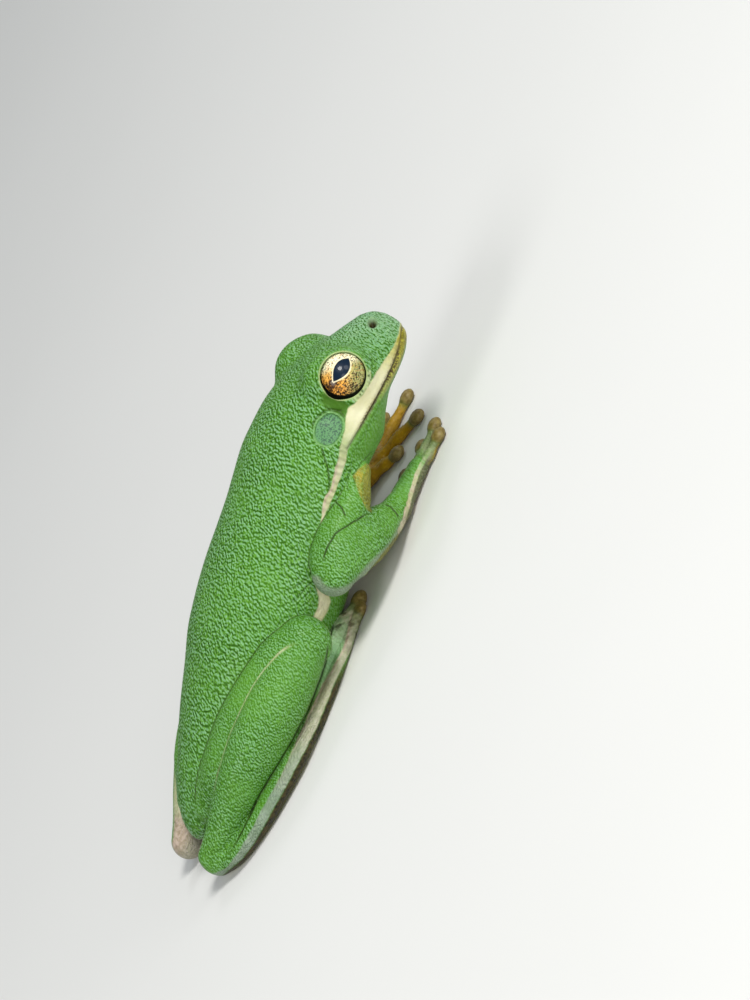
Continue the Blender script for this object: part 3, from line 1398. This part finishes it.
def skin_material():
    shader = Shader("skin_green")
    mark, mix, between = shader.mark, shader.mix, shader.between
    place = shader.node("TexCoord", "Object")
    broad = shader.noise(place, 160)
    noises = {"patchy": shader.noise(place, 600, 3), "fine": shader.noise(place, 2600)}
    fine = noises["fine"]
    height, hind, front = grain_nodes(shader, place)
    skin = mix(between(broad, 0.35, 0.65), (0.076, 0.235, 0.01), (0.096, 0.275, 0.016))
    skin = mix(between(noises["patchy"], 0.3, 0.75, 0, 0.3), skin, (0.12, 0.32, 0.06))
    skin = mix(mark("frost"), skin, (0.24, 0.42, 0.22))
    skin = mix(front, skin, (0.17, 0.375, 0.17))
    skin = mix(hind, skin, (0.028, 0.13, 0.0))
    spots = between(shader.noise(place, 6000), 0.48, 0.6)
    skin = mix(mark("drum"), skin, mix(spots, (0.1, 0.25, 0.1), (0.04, 0.1, 0.055)))
    skin = mix(mark("olive"), skin, (0.04, 0.125, 0.001))
    for name, (noise, low, high, dark, light) in SHADES.items():
        if name == "pad":
            specks = between(shader.noise(place, 4600), 0.47, 0.56)
            skin = mix(mark("speck") * specks, skin, (0.045, 0.025, 0.004))
        skin = mix(mark(name), skin, mix(between(noises[noise], low, high), dark, light))
    skin = mix(mark("crease") * 0.9, skin, (0.012, 0.022, 0.001))
    relief = height + fine * 0.12
    shader.set(
        Base_Color=skin,
        Roughness=between(fine, 0.3, 0.7, 0.4, 0.54) + hind * 0.2,
        Specular_IOR_Level=0.28,
        Coat_Weight=front * 0.2 + 0.05,
        Coat_Roughness=0.3,
        Subsurface_Weight=0.06,
        Subsurface_Radius=(0.7, 1.0, 0.25),
        Subsurface_Scale=0.0003,
        Normal=shader.node("Bump", Strength=1.0, Distance=BUMP_HEIGHT, Height=relief),
    )
    return shader.material


def eye_material():
    shader = Shader("iris_gold")
    mix, between = shader.mix, shader.between
    spot = shader.mark("eye_place", "Vector")
    ahead, above, _ = shader.parts(spot)
    # The pupil lies level, its front corner a little lower
    turn_x, turn_y = math.cos(PUPIL_TILT), math.sin(PUPIL_TILT)
    px, py = ahead - PUPIL_CENTRE[0], above - PUPIL_CENTRE[1]
    along = px * turn_x + py * turn_y
    across = py * turn_x - px * turn_y
    # Blunt at the front, drawn out to a point behind
    reach_front = (along.calculated("MAXIMUM") / PUPIL_FRONT) ** 2.6
    reach_back = ((along * -1.0).calculated("MAXIMUM") / PUPIL_BACK) ** 1.7
    reach = (reach_front + reach_back).calculated("MINIMUM", 1.0)
    half = (1.0 - reach) * PUPIL_HALF_HEIGHT
    inside = half - abs(across)
    pupil = between(inside, -0.03, 0.03)
    ring = between(inside, -0.2, -0.06) * between(abs(along), 1.55, 1.3)
    x, y = ahead - IRIS_CENTRE[0], above - IRIS_CENTRE[1]
    radius = (x**2 + y**2).calculated("SQRT")
    angle = y.calculated("ARCTAN2", x)
    polar = shader.node("CombineXYZ", X=angle * 2.6, Y=radius * 0.9)
    streaks = shader.noise(polar, 3.5, 5, 0.7)
    flecks = shader.noise(spot, 4.2, 4, 0.65)
    specks = shader.noise(spot, 5.5, 4, 0.75)
    behind = between(ahead * -1.0 + above * -0.3, -0.6, 1.3)
    low_front = between(ahead * 0.4 - above, 0.0, 1.3)
    bright = between(ahead * 0.9 + above, 0.6, 1.8)
    dark = between(specks + (behind * 0.06 + low_front * 0.025), 0.545, 0.575, 0, 0.97)
    bar = between(abs(across), 0.55, 0.2) * between(along, -1.0, -1.35)
    gold = mix(behind, (0.68, 0.48, 0.13), (0.9, 0.4, 0.06))
    for share, shade in (
        (low_front * 0.85, (0.28, 0.36, 0.13)),
        (bright, (0.93, 0.9, 0.62)),
        (between(streaks, 0.46, 0.6, 0, 0.6), (0.42, 0.16, 0.025)),
        (dark, (0.02, 0.01, 0.004)),
        (between(flecks, 0.55, 0.72, 0, 0.45), (0.88, 0.78, 0.45)),
        (bar * between(specks, 0.36, 0.48), (0.05, 0.022, 0.01)),
        (ring * 0.85, (0.88, 0.8, 0.52)),
        (between(radius, 1.95, 2.03), (0.006, 0.006, 0.006)),
        (pupil, (0.003, 0.012, 0.028)),
    ):
        gold = mix(share, gold, shade)
    shader.set(
        Base_Color=gold,
        Roughness=0.35,
        Specular_IOR_Level=0.12,
        Coat_Weight=0.3,
        Coat_Roughness=0.03,
        Coat_IOR=1.45,
    )
    return shader.material


def floor_material():
    shader = Shader("floor_pale")
    cloud = shader.noise(shader.node("TexCoord", "Object"), 14.0, 3)
    tone = shader.mix(cloud, (0.72, 0.72, 0.7), (0.76, 0.76, 0.74))
    shader.set(Base_Color=tone, Roughness=0.75)
    return shader.material


# Pieces


def eyeball(side, word):
    """A round eye behind the lids, a little fuller at the cornea."""
    rings, spokes = ((48, 96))
    lean = EYEBALL_END * np.arange(1, rings) / (rings - 1)
    turn = 2 * math.pi * np.arange(spokes) / spokes
    lean, turn = (grid.ravel() for grid in np.meshgrid(lean, turn, indexing="ij"))
    wide = np.sin(lean)
    local = EYEBALL_RADIUS * np.stack([wide * np.cos(turn), wide * np.sin(turn), np.cos(lean)], 1)
    local = np.vstack([(0, 0, EYEBALL_RADIUS), local, (0, 0, local[-1, 2])])
    local[:, 2] += EYEBALL_DEPTH
    cornea = bell(np.hypot(local[:, 0], local[:, 1]), CORNEA_WIDTH) * (local[:, 2] > 1)
    local[:, 2] += CORNEA_RISE * cornea
    last = len(local) - 1
    rim = last - spokes
    faces = []
    for k in range(spokes):
        after = (k + 1) % spokes
        faces.append((0, 1 + k, 1 + after))
        for ring in range(1, rim, spokes):
            faces.append((ring + k, ring + spokes + k, ring + spokes + after, ring + after))
        faces.append((last, rim + after, rim + k))
    if side == LEFT:
        faces = [face[::-1] for face in faces]
    placed = (sided(ORBIT, side) + local @ EYE_AXES[side] + SHIFT) * MM
    mesh = bpy.data.meshes.new("eyeball_" + word)
    mesh.from_pydata(placed.tolist(), [], faces)
    layer = mesh.attributes.new("eye_place", "FLOAT_VECTOR", "POINT")
    layer.data.foreach_set("vector", local.astype(np.float32).ravel())
    mesh.update()
    mesh.shade_smooth()
    return added(mesh.name, mesh)


def softbox(name, place, aim, size, power, tint=(1, 1, 1)):
    light = bpy.data.lights.new(name, "AREA")
    light.shape = "DISK"
    light.size = size
    light.energy = power
    light.color = tint
    made = added(name, light)
    made.location = place
    direction = Vector(aim) - Vector(place)
    made.rotation_mode = "QUATERNION"
    made.rotation_quaternion = direction.to_track_quat("-Z", "Y")


def studio():
    """A pale floor, a soft main light ahead of the frog, four weaker ones and a pale room."""
    bpy.ops.mesh.primitive_plane_add(size=6, location=(0, 0, 0))
    floor = bpy.context.object
    floor.name = "floor"
    floor.data.materials.append(floor_material())
    softbox("key", (0.26, -0.28, 0.39), (0.0, 0, 0.008), 0.17, 2.2, (1.0, 0.99, 0.96))
    softbox("rim", (0.3, 0.25, 0.34), (0.01, 0, 0.01), 0.16, 0.4, (0.95, 0.98, 1.0))
    softbox("back", (-0.35, -0.2, 0.3), (0, 0, 0.008), 0.2, 0.75)
    softbox("fill", (0.05, -0.6, 0.15), (0, 0, 0.01), 0.3, 1.1)
    softbox("front", (0.42, -0.33, 0.18), (0.02, 0, 0.008), 0.2, 0.5)
    world = bpy.data.worlds.new("room")
    bpy.context.scene.world = world
    world.use_nodes = True
    backdrop = world.node_tree.nodes["Background"]
    backdrop.inputs["Color"].default_value = (0.9, 0.95, 1.0, 1)
    backdrop.inputs["Strength"].default_value = 0.26
    bpy.context.scene.view_settings.view_transform = "Standard"


def camera():
    """The photograph's viewpoint, rolled as the frog leans in its frame."""
    right_share, up_share = FORWARD_IN_PICTURE
    ahead = np.array((1.0, 0, 0))
    right = right_share * ahead - up_share * UPWARD
    up = up_share * ahead + right_share * UPWARD
    turn = Matrix([right, up, BACKWARD]).transposed()
    data = bpy.data.cameras.new("camera")
    data.sensor_fit = "AUTO"
    data.sensor_width = SENSOR_WIDTH
    data.lens = SENSOR_WIDTH * DISTANCE / PICTURE_HEIGHT
    data.clip_start = 0.01
    made = added("camera", data)
    place = (TARGET + SHIFT + BACKWARD * DISTANCE) * MM
    made.matrix_world = Matrix.Translation(place) @ turn.to_4x4()
    bpy.context.scene.camera = made


eye_low, eye_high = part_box("eye_right")
eye_design = sided(ORBIT, RIGHT) + EYE_AXES[RIGHT][2] * EYE_NODE_DEPTH
SHIFT = np.array((eye_low + eye_high) / 2) / MM - eye_design

camera()
studio()

skin = skin_mesh()
skin.data.materials.clear()
skin.data.materials.append(skin_material())
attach(skin, "root")
FLESH = [name for name in sorted(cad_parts) if not name.startswith("eye_")]
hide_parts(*FLESH)

iris = eye_material()
for eye_side, word in ((RIGHT, "right"), (LEFT, "left")):
    ball = eyeball(eye_side, word)
    ball.data.materials.append(iris)
    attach(ball, "root")
    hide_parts("eye_" + word)
